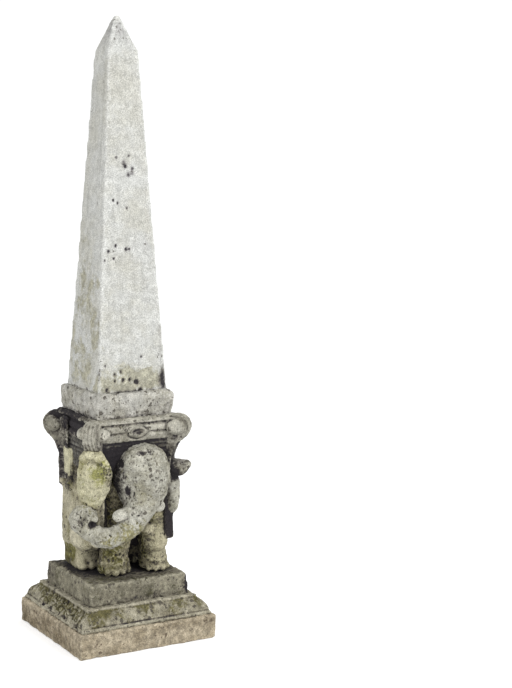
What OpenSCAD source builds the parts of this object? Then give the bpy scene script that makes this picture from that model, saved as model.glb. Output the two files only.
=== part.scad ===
// Garden obelisk in cast stone: a stepped base, an elephant that carries a horned
// capital on its back, and a tapered shaft with a pyramid point.
// +Z is up, the elephant looks along -Y, and the origin is the middle of the underside.

/* [Base] */
// Side of the square plinth
plinth_w = 475; // [450:1:500]
// Height of the plinth
plinth_h = 80; // [70:1:90]
// Radius of the plinth's worn upright corners
plinth_corner_r = 9; // [4:1:14]
// Height of the moulding that slopes in above the plinth
moulding_h = 62; // [55:1:70]
// Width of the moulding where it stands on the plinth
moulding_foot_w = 456; // [440:1:464]
// Width of the moulding's top fillet
moulding_top_w = 384; // [370:1:390]
// Width of the pedestal slab at its foot
slab_foot_w = 340; // [330:1:350]
// Width of the pedestal slab at its top
slab_top_w = 329; // [316:1:336]
// Height of the pedestal slab
slab_h = 68; // [60:1:76]

/* [Elephant] */
// Height of the belly above the slab
belly_h = 90; // [80:1:100]
// Height of the elephant's back above the slab, where the capital starts
back_h = 350; // [340:1:360]
// Width of the body across the flanks
body_w = 272; // [264:1:276]
// Distance from the middle to the elephant's chest
chest_y = 105; // [98:1:110]
// How far the swell of each haunch stands out from the flank
haunch_out = 11; // [6:1:14]
// Thickness of the saddle flaps
flap_t = 8; // [5:1:10]
// Width of each saddle flap
flap_w = 62; // [52:1:72]
// Radius of the elephant's brow
brow_r = 87; // [80:1:92]
// Radius of the trunk where it leaves the face
trunk_root_r = 48; // [44:1:52]
// Radius of the trunk at its tip
trunk_tip_r = 24; // [20:1:28]
// Radius of the trunk's curl, measured to the middle of the trunk
curl_r = 22; // [20:1:28]
// Height of each ear
ear_h = 198; // [170:1:206]
// Width of each ear
ear_w = 118; // [90:1:120]

/* [Capital] */
// Width of the capital's bell across the flats at its top
bell_top_w = 300; // [290:1:306]
// Height of the bell
bell_h = 95; // [85:1:105]
// Height of the banded channel above the bell
channel_h = 57; // [50:1:64]
// Height of the cover slab on top of the capital
cover_h = 12; // [8:1:16]
// Distance from the middle to the centre of a corner scroll
scroll_reach = 205; // [198:1:212]
// Radius of a corner scroll
scroll_r = 41; // [38:1:46]
// Width of the strap that wraps over a scroll
strap_w = 46; // [40:1:52]
// Radius of the round eye on each side of a scroll
eye_r = 24; // [18:1:27]
// How far each eye stands out from the strap
eye_out = 24; // [12:1:28]

/* [Shaft] */
// Width of the collar under the shaft at its foot
collar_foot_w = 262; // [256:1:268]
// Width of the collar at its widest
collar_w = 273; // [268:1:278]
// Height of the collar
collar_h = 81; // [74:1:88]
// Width of the shaft at its foot
shaft_foot_w = 240; // [230:1:246]
// Width of the shaft at the foot of its point
shaft_top_w = 104; // [96:1:112]
// Height of the straight tapering part of the shaft
shaft_h = 1051; // [950:1:1150]
// Height of the point
point_h = 120; // [100:1:140]
// Width of the worn flat at the very tip
tip_w = 7; // [4:1:12]

/* [Hidden] */
$fn = 48;

moulding_z = plinth_h;
slab_z = moulding_z + moulding_h;
ground_z = slab_z + slab_h;
belly_z = ground_z + belly_h;
back_z = ground_z + back_h;
channel_z = back_z + bell_h;
cover_z = channel_z + channel_h;
collar_z = cover_z + cover_h;
shaft_z = collar_z + collar_h;
point_z = shaft_z + shaft_h;
flank_x = body_w / 2;
scroll_z = channel_z + 26;
far = 1000;

// Carved work is round-ended, so most of it is balls and the hulls between them.
brow = [20, -139, 555];
muzzle = [24, -158, 490];
cheek = [-8, -146, 486];
curl_mid = [-176, -138, 416];
curl_turns = [for (a = [-60 : -28 : -256]) a];
trunk_path = concat(
    [[8, -170, 456], [-14, -178, 422], [-40, -184, 391], [-74, -188, 368],
     [-112, -188, 362], [-144, -172, 368], [-168, -156, 382]],
    [for (a = curl_turns) curl_mid + curl_r * [-cos(45) * sin(-a), cos(45) * sin(-a), -cos(a)]]
);

module ball(p, r, fn = 24) { translate(p) sphere(r = r, $fn = fn); }

module limb(a, ra, b, rb, fn = 24) {
    hull() { ball(a, ra, fn); ball(b, rb, fn); }
}

// A block of square plan whose two pairs of faces share one outline, so its corners mitre.
module mitred(extent = far) {
    intersection() {
        rotate([90, 0, 0]) linear_extrude(height = extent, center = true) children();
        rotate([90, 0, 90]) linear_extrude(height = extent, center = true) children();
    }
}

module tapered_outline(foot_w, top_w, h) {
    polygon([[-foot_w / 2, 0], [foot_w / 2, 0], [top_w / 2, h], [-top_w / 2, h]]);
}

module rounded_square(w, r) {
    union() {
        square([w, w - 2 * r], center = true);
        square([w - 2 * r, w], center = true);
        for (x = [-1, 1], y = [-1, 1]) translate([x * (w / 2 - r), y * (w / 2 - r)]) circle(r = r);
    }
}

module plinth() {
    color("tan") linear_extrude(height = plinth_h) rounded_square(plinth_w, plinth_corner_r);
}

// A low foot fillet, a full swelling that leans in, and a narrow fillet under the slab.
module moulding_outline() {
    foot = 13;
    fillet = 8;
    step = 4;
    swelling = 7;
    half = moulding_foot_w / 2;
    top_half = moulding_top_w / 2;
    mid = [(half - step + top_half) / 2 + swelling, (foot + moulding_h - fillet) / 2];
    polygon([[-half, 0], [half, 0], [half, foot], [half - step, foot], mid, [top_half, moulding_h - fillet],
             [top_half, moulding_h], [-top_half, moulding_h], [-top_half, moulding_h - fillet],
             [-mid[0], mid[1]], [-half + step, foot], [-half, foot]]);
}

module base_moulding() {
    color("darkkhaki") translate([0, 0, moulding_z]) mitred() moulding_outline();
}

module pedestal_slab() {
    color("dimgray") translate([0, 0, slab_z]) mitred() tapered_outline(slab_foot_w, slab_top_w, slab_h);
}

// The body is a square mass. A shoulder stands forward from it at each side, behind the ear.
module body_block() {
    shoulder_z = 318;
    shoulder_h = 180;
    shoulder_w = 32;
    translate([-flank_x, -chest_y, belly_z]) cube([body_w, chest_y + flank_x, back_z - belly_z]);
    for (x = [-flank_x, flank_x - shoulder_w])
        translate([x, -flank_x + 4, shoulder_z]) cube([shoulder_w, flank_x - chest_y, shoulder_h]);
}

// Each haunch is a low swell on the flank, above the hind foot.
module elephant_body() {
    haunch_y = 4;
    haunch_h = 46;
    haunch_l = 88;
    color("darkseagreen") union() {
        body_block();
        for (s = [-1, 1]) translate([s * flank_x, haunch_y, belly_z + haunch_h * 0.5])
            scale([haunch_out, haunch_l, haunch_h]) sphere(r = 1, $fn = 40);
    }
}

module head_shape() {
    hull() {
        translate(brow) scale([1, 0.93, 0.96]) sphere(r = brow_r, $fn = 36);
        ball(muzzle, 62);
    }
    hull() { ball(brow + [-14, 8, -30], 66); ball(cheek, 46); }
    limb(muzzle, 58, trunk_path[0], trunk_root_r + 3);
}

module elephant_head() {
    color("silver") difference() {
        head_shape();
        body_block();
        bell_block();
        channel_block();
    }
}

module trunk_shape() {
    last = len(trunk_path) - 1;
    for (i = [0 : last - 1]) {
        a = trunk_root_r + (trunk_tip_r - trunk_root_r) * i / last;
        b = trunk_root_r + (trunk_tip_r - trunk_root_r) * (i + 1) / last;
        limb(trunk_path[i], a, trunk_path[i + 1], b, 20);
    }
}

module trunk() {
    color("beige") difference() {
        trunk_shape();
        head_shape();
        body_block();
        leg_shapes();
    }
}

// A thick leaf-shaped ear in its own frame: it hangs down from the top, flat face along +X.
module ear_leaf() {
    thick = 24;
    hull() {
        translate([0, 0, -ear_h * 0.34]) scale([0.42, 1, 0.95]) sphere(r = ear_w / 2, $fn = 30);
        translate([-4, 0, -ear_h * 0.62]) scale([0.5, 1, 0.8]) sphere(r = ear_w * 0.4, $fn = 24);
        ball([2, -9, -ear_h + thick * 0.8], thick * 0.8);
        ball([-8, -12, -thick], thick);
        ball([-8, 12, -thick], thick);
    }
}

module right_ear() {
    reach = 203;
    top_z = 637;
    color("khaki") difference() {
        rotate([0, 0, -135]) translate([reach, 0, top_z]) ear_leaf();
        body_block();
        bell_block();
        head_shape();
        scroll_shape();
        trunk_shape();
    }
}

// This ear's upper lobe is thrown outwards, and its lower lobe hangs beside the cheek.
module left_ear() {
    color("khaki") difference() {
        union() {
            limb([108, -104, 550], 36, [150, -146, 552], 28);
            limb([150, -146, 552], 28, [168, -163, 562], 16);
            limb([114, -104, 550], 34, [135, -119, 500], 28);
            limb([135, -119, 500], 28, [135, -119, 430], 24);
        }
        body_block();
        bell_block();
        head_shape();
    }
}

module right_tusk() {
    color("ivory") difference() {
        limb([-34, -176, 438], 26, [-90, -188, 428], 18);
        head_shape();
        trunk_shape();
    }
}

module left_tusk() {
    color("ivory") difference() {
        limb([46, -166, 456], 24, [68, -174, 440], 17);
        head_shape();
        trunk_shape();
    }
}

module leg_column(x, y, w, d) {
    foot_h = 46;
    hull() {
        translate([x, y, ground_z]) linear_extrude(height = foot_h) scale([w / d, 1]) circle(d = d, $fn = 28);
        translate([x, y + 6, belly_z - 1]) linear_extrude(height = 1) scale([w / d, 1]) circle(d = d * 0.9, $fn = 28);
    }
}

module leg_shapes() {
    leg_column(-39, -58, 104, 104);
    leg_column(94, -74, 92, 104);
}

// The front legs run up past the belly in front of the chest, so each has an upper arm as well.
module front_right_leg() {
    color("olivedrab") difference() {
        union() {
            leg_column(-39, -58, 104, 104);
            limb([-42, -80, 292], 42, [-50, -88, 420], 32);
        }
        body_block();
        head_shape();
        trunk_shape();
    }
}

module front_left_leg() {
    color("olivedrab") difference() {
        union() {
            leg_column(94, -74, 92, 104);
            limb([90, -84, 290], 42, [80, -92, 430], 34);
        }
        body_block();
        head_shape();
        trunk_shape();
        left_ear_clearance();
    }
}

module left_ear_clearance() { limb([135, -119, 500], 28, [135, -119, 430], 24); }

module hind_leg() {
    inner_x = 22;
    outer_x = 130;
    front_y = -4;
    back_y = 130;
    toe_gap = 5;
    toes = 4;
    difference() {
        translate([inner_x, front_y, ground_z]) cube([outer_x - inner_x, back_y - front_y, belly_h]);
        for (i = [1 : toes - 1])
            translate([outer_x, front_y + i * (back_y - front_y) / toes, ground_z])
                cylinder(r = toe_gap, h = 56);
    }
}

module hind_right_leg() { color("olive") mirror([1, 0, 0]) hind_leg(); }

module hind_left_leg() { color("olive") hind_leg(); }

module tail() {
    tail_y = flank_x + 4;
    color("gray") difference() {
        union() {
            limb([0, tail_y, 500], 15, [10, tail_y, 400], 12);
            limb([10, tail_y, 400], 12, [4, tail_y, 330], 14);
        }
        body_block();
    }
}

// A square-ended flap hangs under the capital on each flank, with a round knob below it.
module saddle_flap() {
    flap_y = 67;
    flap_foot = 516;
    knob = [flank_x, 73, 478];
    difference() {
        union() {
            translate([flank_x, flap_y - flap_w / 2, flap_foot]) cube([flap_t, flap_w, back_z - flap_foot]);
            translate([flank_x, flap_y - flap_w / 4, knob[2]]) cube([flap_t / 2, flap_w / 2, flap_foot - knob[2]]);
            translate(knob) scale([0.5, 1.3, 0.8]) sphere(r = 24, $fn = 28);
        }
        body_block();
    }
}

module right_saddle_flap() { color("wheat") mirror([1, 0, 0]) saddle_flap(); }

module left_saddle_flap() { color("wheat") saddle_flap(); }

module bell_block() {
    foot_w = body_w + 2;
    waist = bell_h * 0.2;
    rise = bell_h - waist;
    lip = 2;
    run = (bell_top_w - foot_w) / 2 - lip;
    flare_r = (rise * rise + run * run) / (2 * run);
    translate([0, 0, back_z]) mitred() difference() {
        translate([-bell_top_w / 2, 0]) square([bell_top_w, bell_h]);
        for (s = [-1, 1]) translate([s * (foot_w / 2 + flare_r), waist]) circle(r = flare_r, $fn = 96);
    }
}

module capital_bell() { color("darkgray") bell_block(); }

module channel_block() {
    translate([-bell_top_w / 2, -bell_top_w / 2, channel_z]) cube([bell_top_w, bell_top_w, channel_h]);
}

// Two sunk grooves run round the channel between plain bands.
module capital_channel() {
    groove = 5;
    groove_z = [18, 44];
    color("lightgray") translate([0, 0, channel_z]) mitred() difference() {
        translate([-bell_top_w / 2, 0]) square([bell_top_w, channel_h]);
        for (s = [-1, 1], z = groove_z) translate([s * bell_top_w / 2, z]) circle(r = groove);
    }
}

module capital_cover() {
    color("gainsboro") translate([0, 0, cover_z])
        mitred() tapered_outline(bell_top_w, bell_top_w - 24, cover_h);
}

module cartouche() {
    half_w = 34;
    half_h = 24;
    out = 11;
    difference() {
        translate([3, -bell_top_w / 2, channel_z + 25]) scale([half_w, out, half_h]) sphere(r = 1, $fn = 36);
        channel_block();
        bell_block();
    }
}

module front_cartouche() { color("gray") cartouche(); }

module back_cartouche() { color("gray") rotate([0, 0, 180]) cartouche(); }

// Three leaves that overlap and narrow as they hang down the side of the capital.
module leaf_pendant() {
    lobes = [[690, 30], [662, 26], [632, 21], [606, 12]];
    color("dimgray") difference() {
        for (lobe = lobes) hull() {
            translate([bell_top_w / 2 - 2, 62, lobe[0]]) scale([0.5, 1, 0.8]) sphere(r = lobe[1], $fn = 24);
            translate([bell_top_w / 2 - 10, 62, lobe[0] - 16]) scale([0.5, 1, 1]) sphere(r = lobe[1] * 0.6, $fn = 24);
        }
        bell_block();
        channel_block();
        translate([0, 0, cover_z]) cylinder(r = far, h = cover_h + collar_h);
    }
}

module right_leaf_pendant() { mirror([1, 0, 0]) leaf_pendant(); }

module left_leaf_pendant() { leaf_pendant(); }

// Outline of a scroll and the horn that carries it, drawn out along the corner's diagonal.
module scroll_outline() {
    horn_foot = 505;
    sweep_z = 592;
    sweep_r = 54;
    difference() {
        union() {
            translate([scroll_reach, scroll_z]) circle(r = scroll_r);
            polygon([[150, horn_foot], [197, horn_foot], [199, sweep_z], [scroll_reach + scroll_r - 3, scroll_z - 14],
                     [scroll_reach, collar_z - 6], [150, collar_z - 6]]);
        }
        translate([scroll_reach + scroll_r + 4, sweep_z]) circle(r = sweep_r);
    }
}

module scroll_shape(turn = -135) {
    rotate([0, 0, turn]) {
        rotate([90, 0, 0]) linear_extrude(height = strap_w, center = true) scroll_outline();
        translate([scroll_reach, 0, scroll_z]) rotate([90, 0, 0])
            cylinder(r = eye_r, h = strap_w + 2 * eye_out, center = true);
    }
}

module scroll(turn) {
    color("silver") difference() {
        scroll_shape(turn);
        body_block();
        bell_block();
        channel_block();
        translate([0, 0, cover_z]) mitred() tapered_outline(bell_top_w, bell_top_w - 24, cover_h);
    }
}

module front_right_scroll() { scroll(-135); }

module front_left_scroll() { scroll(-45); }

module back_right_scroll() { scroll(135); }

module back_left_scroll() { scroll(45); }

module collar() {
    bevel = 12;
    color("whitesmoke") translate([0, 0, collar_z]) mitred() polygon([
        [-collar_foot_w / 2, 0], [collar_foot_w / 2, 0],
        [collar_w / 2, collar_h - 2 * bevel], [collar_w / 2, collar_h - bevel],
        [collar_w / 2 - bevel, collar_h], [-collar_w / 2 + bevel, collar_h],
        [-collar_w / 2, collar_h - bevel], [-collar_w / 2, collar_h - 2 * bevel]
    ]);
}

module shaft() {
    color("ivory") translate([0, 0, shaft_z]) mitred() tapered_outline(shaft_foot_w, shaft_top_w, shaft_h);
}

module point() {
    color("linen") translate([0, 0, point_z]) mitred() tapered_outline(shaft_top_w, tip_w, point_h);
}

plinth();
base_moulding();
pedestal_slab();
elephant_body();
elephant_head();
trunk();
right_ear();
left_ear();
right_tusk();
left_tusk();
front_right_leg();
front_left_leg();
hind_right_leg();
hind_left_leg();
tail();
right_saddle_flap();
left_saddle_flap();
capital_bell();
capital_channel();
capital_cover();
front_cartouche();
back_cartouche();
right_leaf_pendant();
left_leaf_pendant();
front_right_scroll();
front_left_scroll();
back_right_scroll();
back_left_scroll();
collar();
shaft();
point();
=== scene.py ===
import math

import bmesh
import bpy
import numpy as np
from mathutils import Matrix, Vector, noise
from mathutils.bvhtree import BVHTree


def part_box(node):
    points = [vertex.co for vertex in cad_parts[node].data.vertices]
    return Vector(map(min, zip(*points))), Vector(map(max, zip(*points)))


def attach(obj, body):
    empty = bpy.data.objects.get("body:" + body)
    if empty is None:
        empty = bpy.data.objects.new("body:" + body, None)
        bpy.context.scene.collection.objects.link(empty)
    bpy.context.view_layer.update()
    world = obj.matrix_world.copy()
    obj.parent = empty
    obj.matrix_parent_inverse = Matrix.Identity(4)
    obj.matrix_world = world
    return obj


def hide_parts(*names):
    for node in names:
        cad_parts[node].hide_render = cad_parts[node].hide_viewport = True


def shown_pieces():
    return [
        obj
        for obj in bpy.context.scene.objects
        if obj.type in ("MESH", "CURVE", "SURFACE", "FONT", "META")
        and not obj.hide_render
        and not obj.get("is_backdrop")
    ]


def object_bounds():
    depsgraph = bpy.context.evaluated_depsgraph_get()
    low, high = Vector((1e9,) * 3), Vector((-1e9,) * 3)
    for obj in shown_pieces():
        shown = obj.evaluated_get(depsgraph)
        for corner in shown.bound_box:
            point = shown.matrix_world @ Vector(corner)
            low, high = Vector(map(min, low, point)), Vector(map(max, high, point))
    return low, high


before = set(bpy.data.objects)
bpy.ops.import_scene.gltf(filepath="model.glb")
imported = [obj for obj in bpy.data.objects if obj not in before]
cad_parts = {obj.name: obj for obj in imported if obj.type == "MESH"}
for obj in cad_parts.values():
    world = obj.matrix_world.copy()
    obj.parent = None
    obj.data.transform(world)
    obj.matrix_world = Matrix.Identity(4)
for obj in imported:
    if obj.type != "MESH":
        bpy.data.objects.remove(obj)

cad_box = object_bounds()
# The vector noise draws its offsets from the clock unless it is given a seed.
noise.seed_set(1)


# The camera stands a little to the elephant's right of its face, at eye level, looking
# slightly down. It has no shift, so every other view stays centred.
camera_data = bpy.data.cameras.new("camera")
camera_data.lens = 84.65
camera_data.sensor_width = 36
camera = bpy.data.objects.new("camera", camera_data)
bpy.context.scene.collection.objects.link(camera)
heading, dip, roll = math.radians(30.66), math.radians(8.19), math.radians(0.652)
camera.matrix_world = (
    Matrix.Translation((-2.218, -4.612, 1.678))
    @ Matrix.Rotation(-heading, 4, "Z")
    @ Matrix.Rotation(math.pi / 2 - dip, 4, "X")
    @ Matrix.Rotation(roll, 4, "Z")
)
bpy.context.scene.camera = camera


# A plain pale studio floor that runs into a white surround, and two large soft lamps: the
# key in front and to the right of the face, and a weak fill from the other side.
def camera_glow(tree, plain, extra):
    """A strength that is plain for the light, with an extra only where the view looks straight at it."""
    made = tree.nodes.new("ShaderNodeMath")
    made.operation = "MULTIPLY_ADD"
    tree.links.new(tree.nodes.new("ShaderNodeLightPath").outputs["Is Camera Ray"], made.inputs[0])
    made.inputs[1].default_value = extra
    made.inputs[2].default_value = plain
    return made.outputs[0]


bm = bmesh.new()
bmesh.ops.create_circle(bm, cap_ends=True, segments=96, radius=60)
floor_mesh = bpy.data.meshes.new("studio_floor")
bm.to_mesh(floor_mesh)
bm.free()
floor = bpy.data.objects.new("studio_floor", floor_mesh)
bpy.context.scene.collection.objects.link(floor)
floor_paint = bpy.data.materials.new("studio_floor")
floor_paint.use_nodes = True
matt = floor_paint.node_tree.nodes["Principled BSDF"]
matt.inputs["Base Color"].default_value = (0.86, 0.86, 0.86, 1)
matt.inputs["Roughness"].default_value = 0.9
matt.inputs["Specular IOR Level"].default_value = 0.0
matt.inputs["Emission Color"].default_value = (1, 1, 1, 1)
floor_paint.node_tree.links.new(camera_glow(floor_paint.node_tree, 0.0, 0.42),
                                matt.inputs["Emission Strength"])
floor_mesh.materials.append(floor_paint)
floor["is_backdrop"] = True

surround = bpy.data.worlds.new("studio")
surround.use_nodes = True
sky = surround.node_tree.nodes["Background"]
sky.inputs["Color"].default_value = (1, 1, 1, 1)
surround.node_tree.links.new(camera_glow(surround.node_tree, 0.78, 0.30), sky.inputs["Strength"])
bpy.context.scene.world = surround
bpy.context.scene.view_settings.view_transform = "Standard"


def softbox(name, place, aim, size, watts):
    lamp_data = bpy.data.lights.new(name, "AREA")
    lamp_data.size = size
    lamp_data.energy = watts
    lamp = bpy.data.objects.new(name, lamp_data)
    bpy.context.scene.collection.objects.link(lamp)
    turn = (Vector(aim) - Vector(place)).to_track_quat("-Z", "Y")
    lamp.matrix_world = Matrix.Translation(place) @ turn.to_matrix().to_4x4()


softbox("key", (2.0, -4.4, 4.0), (0, 0, 0.9), 2.0, 150)
softbox("fill", (-4.0, -2.0, 2.4), (0, 0, 0.8), 2.5, 50)


# The plinth is a cast block of warm buff stone that has stood on damp ground. Its edges are
# worn round, its faces are blotched brown, and a pale bloom has dried along its foot.
# All the stone is one family, so its shader groups and its modelling steps start here.
def group(name, inputs, outputs):
    tree = bpy.data.node_groups.new(name, "ShaderNodeTree")
    for label, kind, value in inputs:
        made = tree.interface.new_socket(label, in_out="INPUT", socket_type=kind)
        if value is not None:
            made.default_value = value
    for label in outputs:
        tree.interface.new_socket(label, in_out="OUTPUT", socket_type="NodeSocketFloat")
    return tree, tree.nodes.new("NodeGroupInput").outputs, tree.nodes.new("NodeGroupOutput").inputs


def wire(tree, source, target):
    if isinstance(source, bpy.types.NodeSocket):
        tree.links.new(source, target)
    else:
        target.default_value = source


def noise_in(tree, vector, scale, detail=4.0, rough=0.55, warp=0.0):
    made = tree.nodes.new("ShaderNodeTexNoise")
    wire(tree, vector, made.inputs["Vector"])
    for label, setting in (("Scale", scale), ("Detail", detail), ("Roughness", rough), ("Distortion", warp)):
        wire(tree, setting, made.inputs[label])
    return made.outputs["Fac"]


def ramp_in(tree, value, low, high, to_low=0.0, to_high=1.0):
    made = tree.nodes.new("ShaderNodeMapRange")
    made.interpolation_type = "SMOOTHSTEP"
    wire(tree, value, made.inputs["Value"])
    for label, setting in (("From Min", low), ("From Max", high), ("To Min", to_low), ("To Max", to_high)):
        wire(tree, setting, made.inputs[label])
    return made.outputs["Result"]


def maths(tree, operation, first, second=0.0):
    made = tree.nodes.new("ShaderNodeMath")
    made.operation = operation
    wire(tree, first, made.inputs[0])
    wire(tree, second, made.inputs[1])
    return made.outputs[0]


def sum_in(tree, *parts):
    """Adds up (value, weight) pairs."""
    total = None
    for value, weight in parts:
        part = maths(tree, "MULTIPLY", value, weight)
        total = part if total is None else maths(tree, "ADD", total, part)
    return total


def stretched(tree, vector, scale):
    made = tree.nodes.new("ShaderNodeMapping")
    wire(tree, vector, made.inputs["Vector"])
    made.inputs["Scale"].default_value = scale
    return made.outputs["Vector"]


def mark_in(tree, label):
    made = tree.nodes.new("ShaderNodeAttribute")
    made.attribute_name = label
    return made.outputs["Fac"]


def dots_in(tree, vector, scale, share):
    """Ragged round dots, no two of one size; a bigger share gives more and bigger dots."""
    ragged = tree.nodes.new("ShaderNodeVectorMath")
    ragged.operation = "MULTIPLY_ADD"
    shake = tree.nodes.new("ShaderNodeTexNoise")
    shake.inputs["Scale"].default_value = scale * 2.2
    wire(tree, vector, shake.inputs["Vector"])
    wire(tree, shake.outputs["Color"], ragged.inputs[0])
    ragged.inputs[1].default_value = (0.9 / scale,) * 3
    wire(tree, vector, ragged.inputs[2])
    cells = tree.nodes.new("ShaderNodeTexVoronoi")
    cells.inputs["Scale"].default_value = scale
    wire(tree, ragged.outputs["Vector"], cells.inputs["Vector"])
    size = tree.nodes.new("ShaderNodeSeparateColor")
    wire(tree, cells.outputs["Color"], size.inputs[0])
    spread = maths(tree, "ADD", maths(tree, "SUBTRACT", size.outputs["Red"], 1.0), share)
    return ramp_in(tree, maths(tree, "SUBTRACT", maths(tree, "MULTIPLY", spread, 1.1),
                               cells.outputs["Distance"]), -0.05, 0.08)


def blend_in(tree, mask, below, above, mode="MIX"):
    made = tree.nodes.new("ShaderNodeMix")
    made.data_type = "RGBA"
    made.blend_type = mode
    for slot, source in ((0, mask), (6, below), (7, above)):
        wire(tree, (*source, 1) if isinstance(source, tuple) else source, made.inputs[slot])
    return made.outputs[2]


# Grain: broad mottling, smaller clouds, the sandy speckle of the mix, and its tooth.
grain, ask, give = group("stone grain", [("Vector", "NodeSocketVector", None)],
                         ["Mottle", "Cloud", "Sand", "Tooth"])
sand = noise_in(grain, ask["Vector"], 310.0, 3.0, 0.75)
wire(grain, ramp_in(grain, noise_in(grain, ask["Vector"], 9.0, 8.0, 0.62), 0.38, 0.64), give["Mottle"])
wire(grain, ramp_in(grain, noise_in(grain, ask["Vector"], 46.0, 7.0, 0.72), 0.3, 0.7), give["Cloud"])
wire(grain, ramp_in(grain, sand, 0.3, 0.7), give["Sand"])
wire(grain, sum_in(grain, (sand, 0.4), (noise_in(grain, ask["Vector"], 90.0, 6.0, 0.7), 0.9)), give["Tooth"])

# Grime and shade: black crust where rain doesn't reach, laid with painted shade where the sky is hidden, in
# the hollows of the carving and where the mesh is marked with stain and shade; a soft painted shade goes
# before it, dots are where it starts, and convex arrises are marked to be painted paler, as worn stone and as
# a painted highlight.
grime_and_shade, ask, give = group("grime_and_shade", [("Vector", "NodeSocketVector", None), ("Dirt", "NodeSocketFloat", 0.3),
                                   ("Spots", "NodeSocketFloat", 0.3)], ["Soot", "PaintedShade", "Specks", "WornEdgeAndHighlight"])
stain_and_shade = mark_in(grime_and_shade, "stain_and_shade")
hollow = mark_in(grime_and_shade, "hollow")
patchy = maths(grime_and_shade, "SUBTRACT", noise_in(grime_and_shade, ask["Vector"], 38.0, 9.0, 0.74, 0.4), 0.5)
level = sum_in(grime_and_shade, (mark_in(grime_and_shade, "shelter"), 0.75), (maths(grime_and_shade, "SUBTRACT", hollow, 0.5), 1.3),
               (stain_and_shade, 0.9), (ask["Dirt"], 1.0))
wire(grime_and_shade, ramp_in(grime_and_shade, sum_in(grime_and_shade, (level, 1.0), (patchy, 1.7)), 0.60, 0.95), give["Soot"])
wire(grime_and_shade, ramp_in(grime_and_shade, sum_in(grime_and_shade, (level, 1.0), (patchy, 0.9)), 0.05, 0.75), give["PaintedShade"])
drift = maths(grime_and_shade, "SUBTRACT", noise_in(grime_and_shade, ask["Vector"], 13.0, 4.0, 0.6), 0.5)
share = sum_in(grime_and_shade, (ask["Spots"], 0.8), (stain_and_shade, 0.5), (drift, 1.0), (hollow, 0.15))
wire(grime_and_shade, maths(grime_and_shade, "MAXIMUM", dots_in(grime_and_shade, ask["Vector"], 62.0, share),
                  dots_in(grime_and_shade, ask["Vector"], 135.0, share)), give["Specks"])
wire(grime_and_shade, ramp_in(grime_and_shade, sum_in(grime_and_shade, (hollow, 1.0), (patchy, 0.5)), 0.44, 0.2), give["WornEdgeAndHighlight"])

# Moss: olive growth on damp ledges and in the hollows, thicker where there is more of it.
moss, ask, give = group(
    "moss", [("Vector", "NodeSocketVector", None), ("Amount", "NodeSocketFloat", 0.3)], ["Mask", "Tint"])
normal = moss.nodes.new("ShaderNodeSeparateXYZ")
wire(moss, moss.nodes.new("ShaderNodeNewGeometry").outputs["Normal"], normal.inputs[0])
growth = noise_in(moss, ask["Vector"], 17.0, 9.0, 0.7, 0.3)
damp = sum_in(moss, (growth, 1.0), (normal.outputs["Z"], 0.06), (mark_in(moss, "hollow"), 0.16),
              (mark_in(moss, "growth"), 0.50), (ask["Amount"], 0.36))
wire(moss, ramp_in(moss, damp, 0.74, 0.88), give["Mask"])
wire(moss, noise_in(moss, ask["Vector"], 60.0, 5.0, 0.7), give["Tint"])


def place(tree, which, **values):
    made = tree.nodes.new("ShaderNodeGroup")
    made.node_tree = which
    for label, value in values.items():
        wire(tree, value, made.inputs[label])
    return made.outputs


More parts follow.
